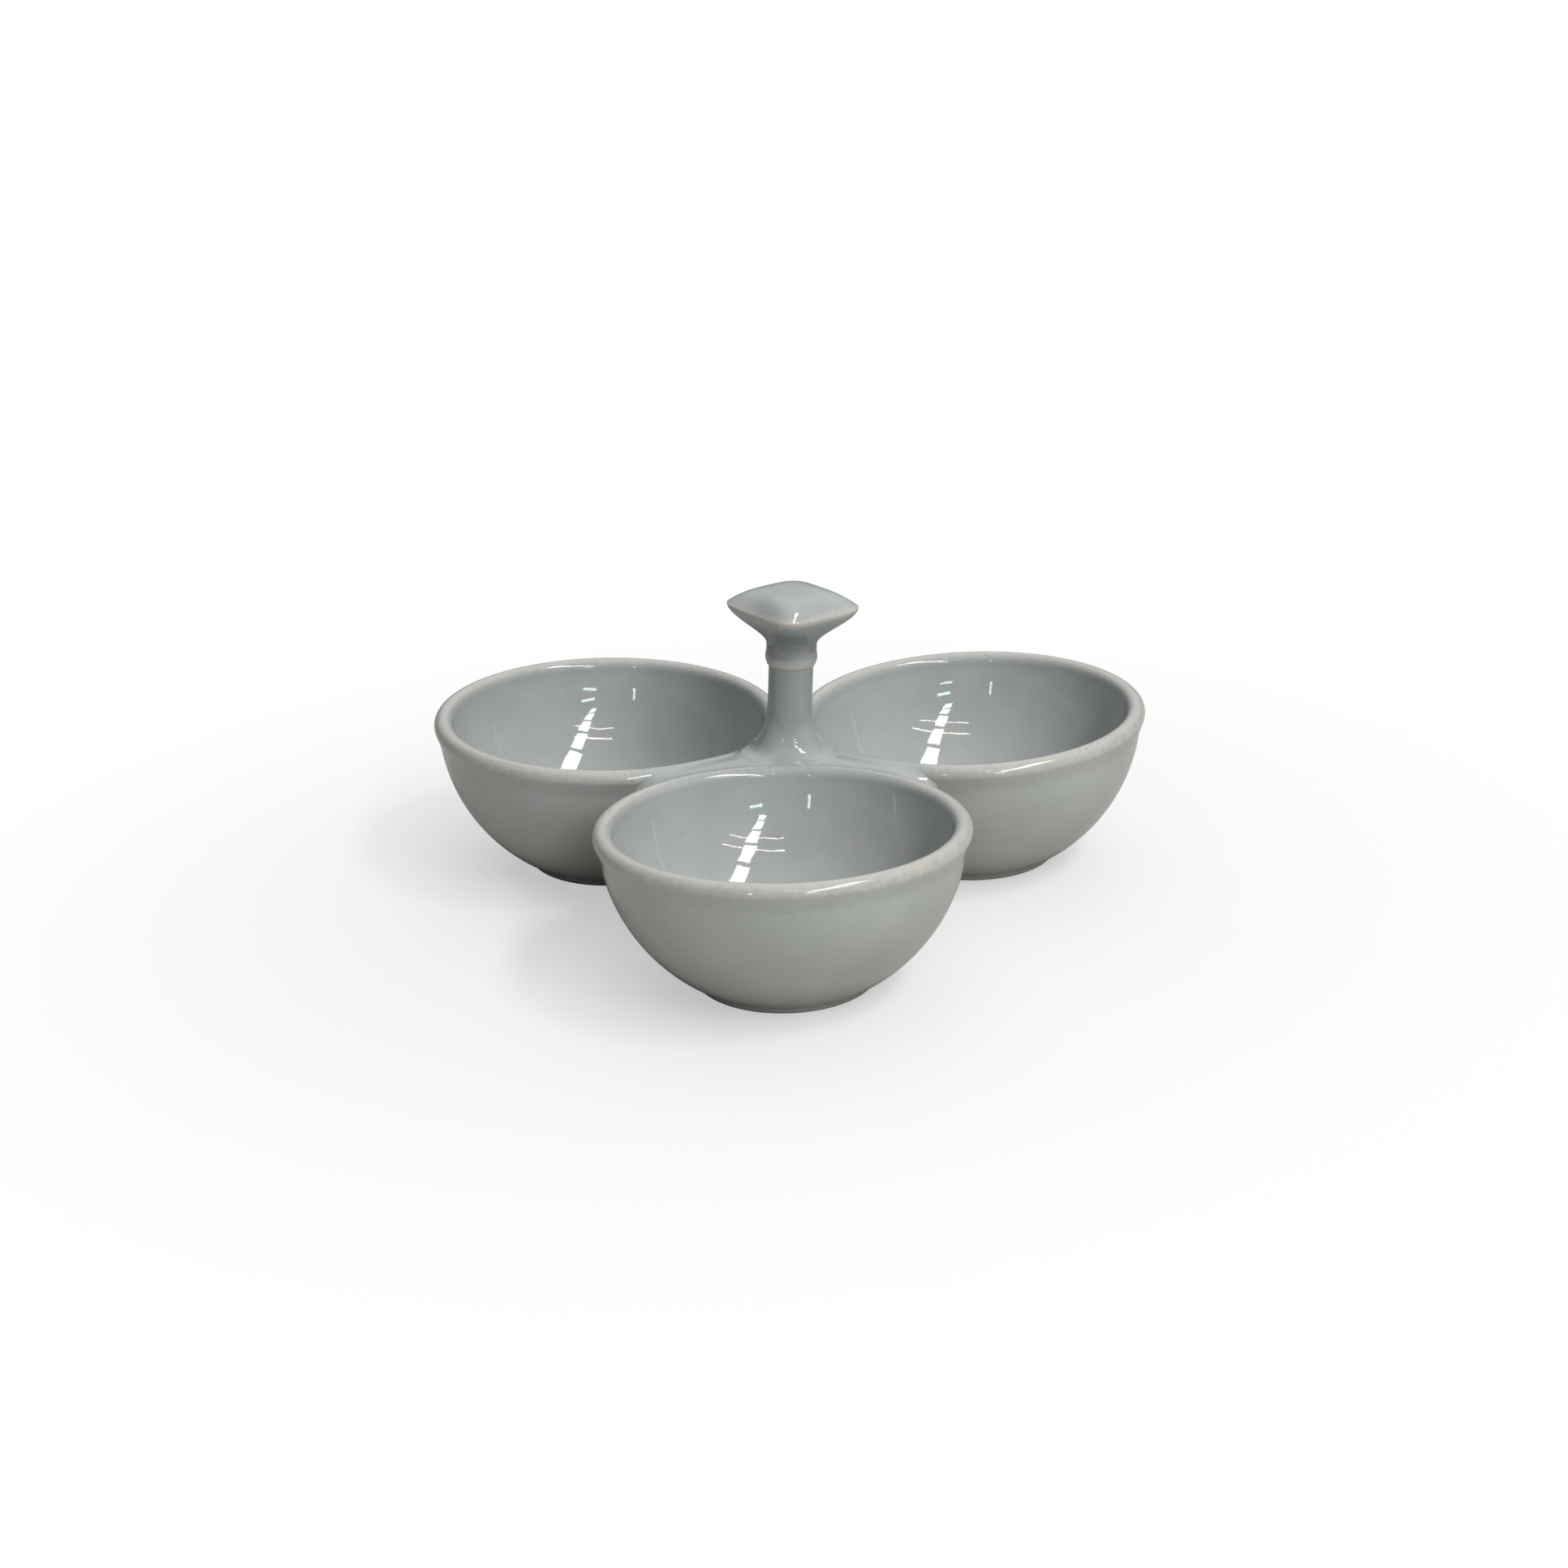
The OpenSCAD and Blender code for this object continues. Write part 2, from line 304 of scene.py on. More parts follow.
def glaze_film_group():
    """Node group for a glossy stoneware glaze.

    Soft cloudy tone, fine grain, sparse iron specks, and a thin edge where the clay's beige shows through
    with brown spots; where the mask is negative, the tone is darker, which is painted shade. Its height is a
    faint unevenness of the fired surface with pinholes at the specks."""
    tree = bpy.data.node_groups.new("glaze_film", "ShaderNodeTree")
    for name, kind in (("Thin and shade", "NodeSocketFloat"), ("Body", "NodeSocketColor"), ("Edge", "NodeSocketColor"),
                       ("Speck", "NodeSocketColor")):
        tree.interface.new_socket(name, in_out="INPUT", socket_type=kind)
    for name, kind in (("Color", "NodeSocketColor"), ("Roughness", "NodeSocketFloat"),
                       ("Height", "NodeSocketFloat")):
        tree.interface.new_socket(name, in_out="OUTPUT", socket_type=kind)
    ins, outs = tree.nodes.new("NodeGroupInput").outputs, tree.nodes.new("NodeGroupOutput").inputs
    place = tree.nodes.new("ShaderNodeTexCoord").outputs["Object"]
    cloud = new_node(tree, "ShaderNodeTexNoise", {"Scale": 48.0, "Detail": 3.0})
    grain = new_node(tree, "ShaderNodeTexNoise", {"Scale": 1100.0, "Detail": 2.0})
    ripple = new_node(tree, "ShaderNodeTexNoise", {"Scale": 120.0, "Detail": 1.0})
    fray = new_node(tree, "ShaderNodeTexNoise", {"Scale": 420.0, "Detail": 4.0})
    dots = new_node(tree, "ShaderNodeTexVoronoi", {"Scale": 150.0})
    spots = new_node(tree, "ShaderNodeTexVoronoi", {"Scale": 760.0})
    for texture in (cloud, grain, ripple, fray, dots, spots):
        link(tree, place, texture.inputs["Vector"])

    def marks(texture, size, pick):
        """Round marks in the middle of a texture's cells, in those cells whose random value passes pick."""
        chance = new_node(tree, "ShaderNodeSeparateColor")
        link(tree, texture.outputs["Color"], chance.inputs[0])
        return calc(tree, "MULTIPLY", span(tree, texture.outputs["Distance"], size, on_off),
                    span(tree, chance.outputs[0], pick, off_on))

    tone = calc(tree, "ADD", span(tree, cloud.outputs[0], cloud_span, cloud_tone),
                span(tree, grain.outputs[0], grain_span, grain_tone))
    # Painted shade: a negative mask darkens the tone.
    tone = calc(tree, "MULTIPLY", tone, span(tree, ins["Thin and shade"], shade_span, shade_tone))
    tint = new_node(tree, "ShaderNodeCombineColor")
    link(tree, tone, tint.inputs[0], tone, tint.inputs[1], tone, tint.inputs[2])
    toned = mix(tree, 1.0, ins["Body"], tint.outputs[0], "MULTIPLY")
    worn = calc(tree, "ADD", ins["Thin and shade"], span(tree, fray.outputs[0], fray_span, fray_shift))
    edge = calc(tree, "MULTIPLY", span(tree, worn, edge_span, edge_share),
                span(tree, ins["Thin and shade"], edge_start, off_on))
    dot = marks(dots, speck_size, speck_pick)
    rust = calc(tree, "MULTIPLY", marks(spots, spot_size, spot_pick),
                span(tree, fray.outputs[0], rust_span, rust_share))
    rust = calc(tree, "MULTIPLY", rust, edge)
    brown = calc(tree, "ADD", calc(tree, "MULTIPLY", dot, speck_share), rust)
    colour = mix(tree, brown, mix(tree, edge, toned, ins["Edge"]), ins["Speck"])
    rough = calc(tree, "ADD", span(tree, cloud.outputs[0], cloud_span, cloud_gloss),
                 calc(tree, "MULTIPLY", edge, edge_rough))
    peel = calc(tree, "ADD", ripple.outputs[0], calc(tree, "MULTIPLY", grain.outputs[0], grain_height))
    height = calc(tree, "SUBTRACT", peel, calc(tree, "MULTIPLY", dot, pinhole))
    link(tree, colour, outs["Color"], rough, outs["Roughness"], height, outs["Height"])
    return tree


glaze_film = glaze_film_group()


def glazed(name, body=glaze_body, edge=glaze_break, speck=glaze_speck):
    """Glossy glaze: the film group drives colour, roughness and the bump of the fired surface."""
    material = bpy.data.materials.new(name)
    material.use_nodes = True
    tree = material.node_tree
    shader = tree.nodes["Principled BSDF"]
    shader.inputs["IOR"].default_value = glaze_ior
    film = new_node(tree, "ShaderNodeGroup", node_tree=glaze_film)
    for socket, colour in (("Body", body), ("Edge", edge), ("Speck", speck)):
        film.inputs[socket].default_value = colour
    # The attribute carries the thin glaze and, where it is negative, painted shade.
    thin = new_node(tree, "ShaderNodeAttribute", attribute_name="thin_glaze")
    bump = new_node(tree, "ShaderNodeBump", {"Strength": peel_strength, "Distance": peel_height})
    link(tree, thin.outputs["Fac"], film.inputs["Thin and shade"], film.outputs["Color"], shader.inputs["Base Color"],
         film.outputs["Roughness"], shader.inputs["Roughness"], film.outputs["Height"], bump.inputs["Height"],
         bump.outputs["Normal"], shader.inputs["Normal"])
    return material


bowl_glaze = glazed("bowl_glaze")
for side in bowl_dirs:
    rows, floor_pole, base_pole, thin = bowl_rows(side)
    points, faces = skin(rows, floor_pole, base_pole)
    add_piece(f"{side}_dip_bowl", points, faces, bowl_glaze, [f"{side}_bowl"], "bowl_glaze",
              thin_glaze=np.concatenate([thin.ravel(), thin[0, :1], thin[-1, :1]]))

# Foot rings. Each bowl stands on a low ring of the same clay, glazed outside and wiped bare on the standing
# face, so that the pot doesn't stick to the kiln shelf.
foot_w = 0.0056
foot_round = 0.0038
foot_inner_round = 0.0010
foot_sunk = 0.0006
foot_steps = 160
foot_counts = {"outside": 16, "face": 6, "inside": 8}
foot_break = 0.4
bare_edge = 0.00035
bare_clay = (0.52, 0.42, 0.32, 1.0)
grit_span, grit_share = (0.45, 0.8), (0.0, 0.6)
foot_rough = (0.09, 0.75)


def foot_rows(side):
    """Ring's section turned round the bowl's axis: down the outside, across the standing face and up inside.

    The outside is a quarter ellipse, and the inner edge a small quarter circle."""
    inner_r = foot_r - foot_w
    stand_out, stand_in = foot_r - foot_round, inner_r + foot_inner_round
    outside = arc((0, foot_h), foot_h, 0, -90, foot_counts["outside"]) * [foot_round / foot_h, 1]
    face = np.linspace(stand_out, stand_in, foot_counts["face"])[1:-1]
    section = np.vstack([
        [[stand_out, foot_h + foot_sunk], [foot_r, foot_h + foot_sunk]],
        outside + [stand_out, 0],
        np.column_stack([face, np.zeros_like(face)]),
        arc((stand_in, foot_inner_round), foot_inner_round, -90, -180, foot_counts["inside"]),
        [[inner_r, foot_h], [inner_r, foot_h + foot_sunk]],
    ])
    turn = np.linspace(0, 2 * np.pi, foot_steps, endpoint=False)
    x, y = bowl_axes[side]
    r, z = section[:, :1], section[:, 1:]
    return np.stack([x + r * np.cos(turn), y + r * np.sin(turn), z + 0 * turn], -1)


def wiped_foot():
    """Bare gritty clay on the standing face, by its height over the table, and the glaze above it."""
    material = glazed("foot_clay")
    tree = material.node_tree
    shader = tree.nodes["Principled BSDF"]
    film = next(node for node in tree.nodes if node.type == "GROUP")
    place = tree.nodes.new("ShaderNodeTexCoord").outputs["Object"]
    height = tree.nodes.new("ShaderNodeSeparateXYZ")
    grit = new_node(tree, "ShaderNodeTexNoise", {"Scale": 1600.0, "Detail": 4.0})
    link(tree, place, height.inputs[0], place, grit.inputs["Vector"])
    bare = span(tree, height.outputs["Z"], (bare_edge, 2 * bare_edge), on_off)
    clay = mix(tree, span(tree, grit.outputs[0], grit_span, grit_share, "LINEAR"), bare_clay, glaze_speck)
    colour = mix(tree, bare, film.outputs["Color"], clay)
    rough = span(tree, bare, off_on, foot_rough, "LINEAR")
    link(tree, colour, shader.inputs["Base Color"], rough, shader.inputs["Roughness"])
    return material


foot_clay = wiped_foot()
for side in bowl_dirs:
    rows = foot_rows(side)
    points, faces = skin(rows, closed=True)
    heights = rows[..., 2]
    # Painted shade: the ring's tone is darker all round, as dark as the bowls' at the table and a little less
    # at its standing edge.
    add_piece(f"{side}_foot_ring_glazed", points, faces, foot_clay, [f"{side}_foot_ring"], "foot_clay",
              thin_glaze=foot_break * np.exp(-(heights / foot_h) ** 2) - foot_shade)

# Saddle and webs. Clay pressed into the middle of the trefoil and into the three valleys between the rims,
# then smoothed with a wet finger, so that it runs flush from rim to rim, rises into the stem and ends in a
# hollow curve.
saddle_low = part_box("centre_saddle")[0].z
web_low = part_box("back_web")[0].z
low_from, low_to = 0.028, 0.042
low_root_drop = 0.003
touch_turn, plane_turn = np.radians([30.0, 60.0])
web_reach = 0.0170
web_contact = 0.0214
web_mid_low, web_mid_high = 0.0519, 0.0521
web_rise_from, web_rise_to = 0.016, 0.036
web_sag = 0.0048
web_turn = np.radians(70.0)
web_steepest = np.radians(62.0)
web_root_r, saddle_root_r = 0.0566, 0.0552
nose_share = 0.58
nose_from, nose_to = 0.02, 0.03
contact_angle = np.radians(12.0)
lap_contact = {"front": np.radians(-12.0), "right": np.radians(-30.0), "left": np.radians(-30.0)}
lap_spread = np.radians(8.0)
lap_fade = 0.0036
lap_glaze = 0.8
rim_break_w, rim_break_turn = 0.0016, np.radians(40.0)
sink = 0.00002
handle_lean = np.radians(2.8)
lean_rounds = 5
stem_r = 0.0074
flare_w, front_flare_w = 0.0084, 0.0085
flare_h, front_flare_h = 0.0235, 0.0100
flare_base = 0.0111
flare_blend = 0.0040
plateau_r = 0.0086
seam_rise, seam_slope = 0.0030, 0.10
near_share, inner_share = 0.30, 0.84
saddle_counts = {"near": 60, "web": 44, "nose": 13, "across": 44}
across_power = 1.15


def frontness(turn):
    """1 towards the front of the handle's axis, 0 towards its back, and small at its sides."""
    return ((1 - np.sin(turn)) / 2) ** 3


def flare_size(turn):
    """Width and height of the stem's flared foot by the direction round its axis; the front is rounder."""
    front = frontness(turn)
    return flare_w + (front_flare_w - flare_w) * front, flare_h + (front_flare_h - flare_h) * front


def flare_height(x, y):
    """Height of the stem's flared foot over a plan point, on the handle's leaning axis.

    The section is a quarter ellipse that leaves the stem upright and reaches the saddle level. A plan point's
    place on the leaning axis depends on the height, so a few rounds of substitution find it."""
    z = np.full_like(x, flare_base)
    for _ in range(lean_rounds):
        along = x * np.cos(handle_lean) - z * np.sin(handle_lean)
        rho = np.hypot(along, y)
        wide, high = flare_size(np.arctan2(y, along))
        gap = np.clip((stem_r + wide - np.maximum(rho, plateau_r)) / wide, 0, 1)
        beyond = np.maximum(rho - stem_r - wide, 0)
        h = flare_base + high * (1 - np.sqrt(1 - gap ** 2)) - beyond
        z = (h - x * np.sin(handle_lean)) / np.cos(handle_lean)
    return saddle_low + z


def higher(a, b, width):
    """The larger of two heights, rounded over where they differ by less than width."""
    near = np.clip(1 - np.abs(a - b) / width, 0, 1)
    return np.maximum(a, b) + near ** 2 * width / 4


def sector_sheets(side):
    """Top and underside of the saddle between one bowl and the planes midway to its neighbours.

    Polar about the bowl's axis: s goes along the rim from one web's end to the other's, and t from the rim to
    the midway planes. In plan a web ends in a hollow curve that runs into the wall. The top leaves the rim's
    bead along its own slope and is a cubic in t to the midway plane, the stem's foot is blended onto it, and
    the webs' ends are rounded over. The edges beside the rim lie inside the wall."""
    nose = np.sin(np.linspace(0, np.pi / 2, saddle_counts["nose"]))
    half = np.concatenate([np.linspace(0, near_share, saddle_counts["near"]),
                           np.linspace(near_share, inner_share, saddle_counts["web"])[1:],
                           inner_share + (1 - inner_share) * nose[1:]])
    s = np.concatenate([-half[:0:-1], half])[:, None]
    t = np.linspace(0, 1, saddle_counts["across"])[None, :] ** across_power
    close = pitch_r * np.sin(plane_turn)
    end_mid = touch_turn + np.arctan2(web_reach, close)
    end_rim = touch_turn + np.arcsin(web_contact / rim_r)
    end = end_mid + (end_rim - end_mid) * (1 - np.sqrt(t * (2 - t)))
    theta = s * end
    into_web = np.clip((np.abs(theta) - touch_turn) / (end - touch_turn), 0, 1)
    lap = np.exp(-(theta / lap_spread) ** 2)
    beta = contact_angle + (lap_contact[side] - contact_angle) * lap + web_turn * into_web ** 2
    start = bead_c + bead_r * np.sin(beta)
    far = close / np.sin(plane_turn + np.abs(theta))
    r = start + t * (far - start)
    a = np.radians(bowl_dirs[side])

    def in_plan(radius):
        """Plan places from the handle's axis, at a distance from the bowl's axis."""
        x = pitch_r * np.cos(a) - radius * np.cos(theta + a)
        return x, pitch_r * np.sin(a) - radius * np.sin(theta + a)

    x, y = in_plan(r)
    rho = np.hypot(x, y)
    dip = lap_dip[side] * np.exp(-(theta / lap_angle) ** 2)
    ring_z = body_z + (bead_z - body_z) * np.cos(rim_lean) - start * np.cos(theta) * np.sin(rim_lean)
    start_z = ring_z + bead_r * np.cos(beta) - dip - sink
    mid_z = web_mid_low + (web_mid_high - web_mid_low) * eased(rho, web_rise_from, web_rise_to)
    mid_z = mid_z - web_sag * into_web ** 2
    slope = -np.tan(np.minimum(beta, web_steepest)) * (far - start)
    keep, come, leave = 2 * t ** 3 - 3 * t ** 2 + 1, 3 * t ** 2 - 2 * t ** 3, t ** 3 - 2 * t ** 2 + t
    top = keep * start_z + come * mid_z + leave * slope
    flare = flare_height(x, y)
    flare = flare - seam_slope * np.maximum(flare - top - seam_rise, 0)
    top = top + (higher(top, flare, flare_blend) - top) * eased(r - start, 0, lap_fade)
    low = saddle_low + (web_low - saddle_low) * eased(rho, low_from, low_to) - low_root_drop * (1 - t) ** 4
    into_nose = np.clip((np.abs(s) - inner_share) / (1 - inner_share), 0, 1)
    drop = 1 - np.sqrt(np.clip(1 - into_nose ** 2, 0, 1))
    closing = (top - low) * drop * eased(rho, nose_from, nose_to)
    inset = (1 - t) * (start - web_root_r)
    low_inset = inset + (1 - t) * (1 - drop) * (web_root_r - saddle_root_r)
    top_x, top_y = in_plan(r - inset * drop)
    low_x, low_y = in_plan(r - low_inset)
    rim_break = np.exp(-((r - start) / rim_break_w) ** 2) * np.exp(-(beta / rim_break_turn) ** 2)
    thin = web_break[side] * rim_break * (1 - lap_glaze * lap)
    ax, ay = handle_axis
    top = np.stack([ax + top_x, ay + top_y, top - nose_share * closing], -1)
    low = np.stack([ax + low_x, ay + low_y, low + (1 - nose_share) * closing], -1)
    return top, low, thin


def saddle_mesh():
    """The three sectors' sheets with a wall under each rim, as one closed set of vertices and faces."""
    points, faces, masks, offset = [], [], [], 0
    for side in bowl_dirs:
        top, low, thin = sector_sheets(side)
        rows, columns = top.shape[:2]
        i = np.arange(rows - 1)[:, None] * columns
        j = np.arange(columns - 1)[None, :]
        quad = np.stack([i + j, i + columns + j, i + columns + j + 1, i + j + 1], -1).reshape(-1, 4)
        size = rows * columns
        rim = np.arange(rows - 1) * columns
        wall = np.stack([rim, rim + size, rim + columns + size, rim + columns], -1)
        faces += (np.vstack([quad[:, ::-1], quad + size, wall]) + offset).tolist()
        points += [top.reshape(-1, 3), low.reshape(-1, 3)]
        masks += [thin.ravel(), np.zeros(size)]
        offset += 2 * size
    return np.vstack(points), faces, np.concatenate(masks)


saddle_glaze = glazed("saddle_glaze")
points, faces, thin = saddle_mesh()
add_piece("saddle_and_webs", points, faces, saddle_glaze,
          ["centre_saddle", "right_web", "back_web", "left_web"], "saddle_glaze", thin_glaze=thin)

# Handle. A pulled stem that sweeps out over the saddle, a rolled collar over its joint, and a square cushion
# knob pressed in a mould; all three are luted together and share one glaze, thin on the collar's ridge and
# the knob's edge. Its tone carries painted shade, darker up the stem and the collar and most under the knob.
stem_top_r = 0.00742
stem_end_h = 0.0420
flare_reach = 0.0148
lip = (0.00774, 0.0434)
lip_r = 0.00032
lip_from, lip_to = -80.0, -12.0
lip_break, lip_break_rise, lip_thin = 0.0014, 3 * lip_r, 1.2
bulge = (0.00868, 0.0457)
neck_low = (0.00836, 0.0488)
neck_h = 0.050
neck_r = 0.0084
knob_r = 0.0218
knob_edge_h = 0.0135
knob_crown = 0.00570
knob_square = 4.5
knob_sweep = 1.05
knob_pillow, front_pillow, front_focus = 2.7, 7.0, 2.5
knob_corner = 1.5
knob_break_drop = 0.0006
knob_break_under, knob_break_over, knob_thin = 0.0012, 0.0021, 1.05
knob_turn = np.radians(-3.0)
# Painted shade by height on the handle: none at the flare, some up the stem and collar, most under the knob,
# none on its crown.
handle_shade_from, handle_shade_depth = (0.0165, 0.026, 0.044, 0.0555, 0.0625), (0.0, 0.45, 0.55, 0.95, 0.0)
handle_steps = 288
handle_counts = {"flare": 56, "stem": 17, "ledge": 8, "bulge": 14, "waist": 10, "neck": 6,
                 "rise": 60, "crown": 56}
overlap_rows, overlap_sink = 2, sink / 4


def handle_section():
    """Section of the whole handle from its flared foot to the crown's top, for each direction round the axis.

    The flare is part of a quarter ellipse, the stem a straight taper, the collar a small ledge and a bulge
    joined by cubic curves, the knob's underside an eased sweep, and the crown a cosine to the power that sets
    how flat it is. Returns rho and h as rows by directions, each row's outline power, where 2 is a circle and
    more is squarer, and the rows of the two joints."""
    counts = handle_counts
    turn = np.linspace(0, 2 * np.pi, handle_steps, endpoint=False) + knob_turn
    wide, high = flare_size(turn)
    a = np.arccos((stem_r + wide - flare_reach) / wide) * np.linspace(1, 0, counts["flare"])[:, None]
    flare = np.stack([stem_r + wide * (1 - np.cos(a)), flare_base + high * (1 - np.sin(a))], -1)
    up = np.linspace(0, 1, counts["stem"])[1:, None]
    stem_h = flare_base + high + (stem_end_h - flare_base - high) * up
    stem = np.stack([stem_r + (stem_top_r - stem_r) * up + 0 * turn, stem_h], -1)
    ledge = arc(lip, lip_r, lip_from, lip_to, counts["ledge"])
    neck = np.linspace(neck_low, (neck_r, neck_h), counts["neck"])
    collar = np.vstack([
        sweep((stem_top_r, stem_end_h), (0, 1), ledge[0], ledge[1] - ledge[0], counts["ledge"]),
        ledge,
        sweep(ledge[-1], ledge[-1] - ledge[-2], bulge, (0, 1), counts["bulge"]),
        [bulge],
        sweep(bulge, (0, 1), neck[0], (0, 1), counts["waist"]),
        neck,
    ])
    t = np.linspace(0, 1, counts["rise"])[1:]
    ease = eased(t, 0, 1)
    rise = np.column_stack([neck_r + (knob_r - neck_r) * ease ** knob_sweep, neck_h + knob_edge_h * t])
    inward = np.cos(np.linspace(0, np.pi / 2, counts["crown"])[1:-1])
    pillow = knob_pillow + (front_pillow - knob_pillow) * frontness(turn) ** front_focus
    crown_h = neck_h + knob_edge_h + knob_crown * (1 - inward[:, None] ** pillow)
    crown = np.stack([knob_r * inward[:, None] + 0 * turn, crown_h], -1)
    upper = np.repeat(np.vstack([collar, rise])[:, None], handle_steps, 1)
    section = np.concatenate([flare, stem, upper, crown])
    square = np.concatenate([ease ** knob_corner, eased(inward, 0, 1)])
    power = np.concatenate([np.zeros(len(section) - len(square)), square]) * (knob_square - 2) + 2
    stem_end = len(flare) + len(stem) - 1
    return section[..., 0], section[..., 1], power[:, None], stem_end, stem_end + len(collar)


def square_share(turn, power):
    """Radius of a rounded square with its corners on the axes, as a share of its corner radius."""
    a = turn - np.pi / 4
    return 2 ** (1 / power - 0.5) / (np.abs(np.cos(a)) ** power + np.abs(np.sin(a)) ** power) ** (1 / power)


def on_handle(x, y, h):
    """Points beside the handle's axis and along it, leaned with it about the saddle's underside."""
    east = handle_axis[0] + x * np.cos(handle_lean) + h * np.sin(handle_lean)
    north = handle_axis[1] + y
    height = saddle_low - x * np.sin(handle_lean) + h * np.cos(handle_lean)
    return np.stack([east, north, height], -1)


def handle_rows(rho, h, power):
    """A section's rows turned round the handle's axis, each with its own outline from round to square."""
    turn = np.linspace(0, 2 * np.pi, handle_steps, endpoint=False)
    rho = rho * square_share(turn, power)
    return on_handle(rho * np.cos(turn + knob_turn), rho * np.sin(turn + knob_turn), h)


rho, rise, power, collar_at, knob_at = handle_section()
count = len(rho)
above_stem = np.arange(count)[:, None] > collar_at
lip_off = rise - lip[1] - lip_break_rise
edge_off = rise - neck_h - knob_edge_h + knob_break_drop
ridge = np.exp(-(lip_off / lip_break) ** 2) * above_stem
edge = np.exp(-(edge_off / np.where(edge_off < 0, knob_break_under, knob_break_over)) ** 2) * (rise > neck_h)
# Painted shade darkens the tone wherever the glaze isn't thin.
handle_shade = np.interp(rise, handle_shade_from, handle_shade_depth)
thin_and_shade_rows = lip_thin * ridge + knob_thin * edge - handle_shade * (1 - np.maximum(ridge, edge))
handle_glaze = glazed("handle_glaze")
for name, node, start, end in (("handle_stem_glazed", "handle_stem", 0, collar_at),
                               ("collar_ring_glazed", "stem_collar", collar_at, knob_at),
                               ("square_knob_glazed", "handle_knob", knob_at, count - 1)):
    rows = np.arange(max(start - overlap_rows, 0), min(end + overlap_rows, count - 1) + 1)[::-1]
    beyond = np.maximum(start - rows, 0) + np.maximum(rows - end, 0)
    around = handle_rows(rho[rows] - beyond[:, None] * overlap_sink, rise[rows], power[rows])
    top = neck_h + knob_edge_h + knob_crown if end == count - 1 else rise[rows[0]].mean()
    points, faces = skin(around, on_handle(0, 0, top), on_handle(0, 0, rise[rows[-1]].mean()))
    add_piece(name, points, faces, handle_glaze, [node], "handle_glaze",
              thin_glaze=np.concatenate([thin_and_shade_rows[rows].ravel(), [0, 0]]))

# Camera. It looks from the photograph's place: its turn, height, roll, distance and focal length were fitted
# to the three rims and feet.
view_up, view_side, view_roll = np.radians([20.302, 1.677, -1.479])
view_distance = 1.099845
view_across, view_h = -0.001277, 0.039734
focal_px, image_px, sensor_mm = 4028.44, 1932, 36.0


def camera_axes():
    """The camera's right, up and back directions from its azimuth, elevation and roll."""
    flat = np.cos(view_up)
    back = np.array([np.sin(view_side) * flat, -np.cos(view_side) * flat, np.sin(view_up)])
    right = np.array([np.cos(view_side), np.sin(view_side), 0])
    up = np.cross(back, right)
    c, s = np.cos(view_roll), np.sin(view_roll)
    return c * right + s * up, c * up - s * right, back


def set_place(thing, right, up, back, place):
    """Turns an object to three axes and puts it at a place."""
    turned = np.column_stack([right, up, back, place])
    thing.matrix_world = Matrix(np.vstack([turned, [0, 0, 0, 1]]).tolist())
    bpy.context.scene.collection.objects.link(thing)


right, up, back = camera_axes()
camera_data = bpy.data.cameras.new("photo_camera")
camera_data.sensor_width = sensor_mm
camera_data.lens = focal_px * sensor_mm / image_px
camera = bpy.data.objects.new("photo_camera", camera_data)
looked_at = np.array([*handle_axis, view_h]) + right * view_across
set_place(camera, right, up, back, looked_at + back * view_distance)
bpy.context.scene.camera = camera

# Lights. A row of soft roof panels and two thin warm tubes to the right, and four small cool window panes
# behind the camera. The glaze mirrors them as bars in each hollow.
roof_h = 2.0
panel_count, panel_first_y, panel_pitch = 5, -0.75, -1.0
panel_x, panel_skew = 1.09, -0.07
panel_size, panel_radiance, panel_tint = (0.46, 0.84), 16.5, (0.97, 1.0, 1.0)
tube_x, tube_drop, tube_ys = 1.2, 0.1, (-1.85, -2.5)
tube_size, tube_radiance, tube_tint = (2.4, 0.035), 34.0, (1.0, 0.93, 0.82)
window_y, window_aim = -2.8, (0, 0, 0.05)
window_places = ((1.00, 0.76), (0.88, 0.31), (-0.87, 0.42), (-0.87, 0.70))
window_sizes = ((0.50, 0.12), (0.50, 0.10), (0.09, 0.25), (0.09, 0.25))
window_radiance, window_tint = 15.0, (0.72, 0.95, 1.0)
overhead = 0.9


def add_panel(name, centre, aim, size, radiance, colour):
    """Rectangular soft light of a given brightness, facing a point; its length lies towards the camera."""
    width, length = size
    lamp = bpy.data.lights.new(name, "AREA")
    lamp.shape = "RECTANGLE"
    lamp.size, lamp.size_y = width, length
    lamp.energy = radiance * width * length * np.pi
    lamp.color = colour
    panel = bpy.data.objects.new(name, lamp)
    away = np.array(centre) - np.array(aim)
    away = away / np.linalg.norm(away)
    side = np.cross((0, 1, 0) if away[2] > overhead else (0, 0, 1), away)
    side = side / np.linalg.norm(side)
    set_place(panel, side, np.cross(away, side), away, centre)
    panel.visible_camera = False


for i in range(panel_count):
    y = panel_first_y + panel_pitch * i
    x = panel_x + panel_skew * y
    add_panel(f"roof_panel_{i}", (x, y, roof_h), (x, y, 0), panel_size, panel_radiance, panel_tint)
for i, y in enumerate(tube_ys):
    centre = (tube_x, y, roof_h - tube_drop)
    add_panel(f"tube_{i}", centre, (tube_x, y, 0), tube_size, tube_radiance, tube_tint)
for i, ((x, z), size) in enumerate(zip(window_places, window_sizes)):
    add_panel(f"window_{i}", (x, window_y, z), window_aim, size, window_radiance, window_tint)

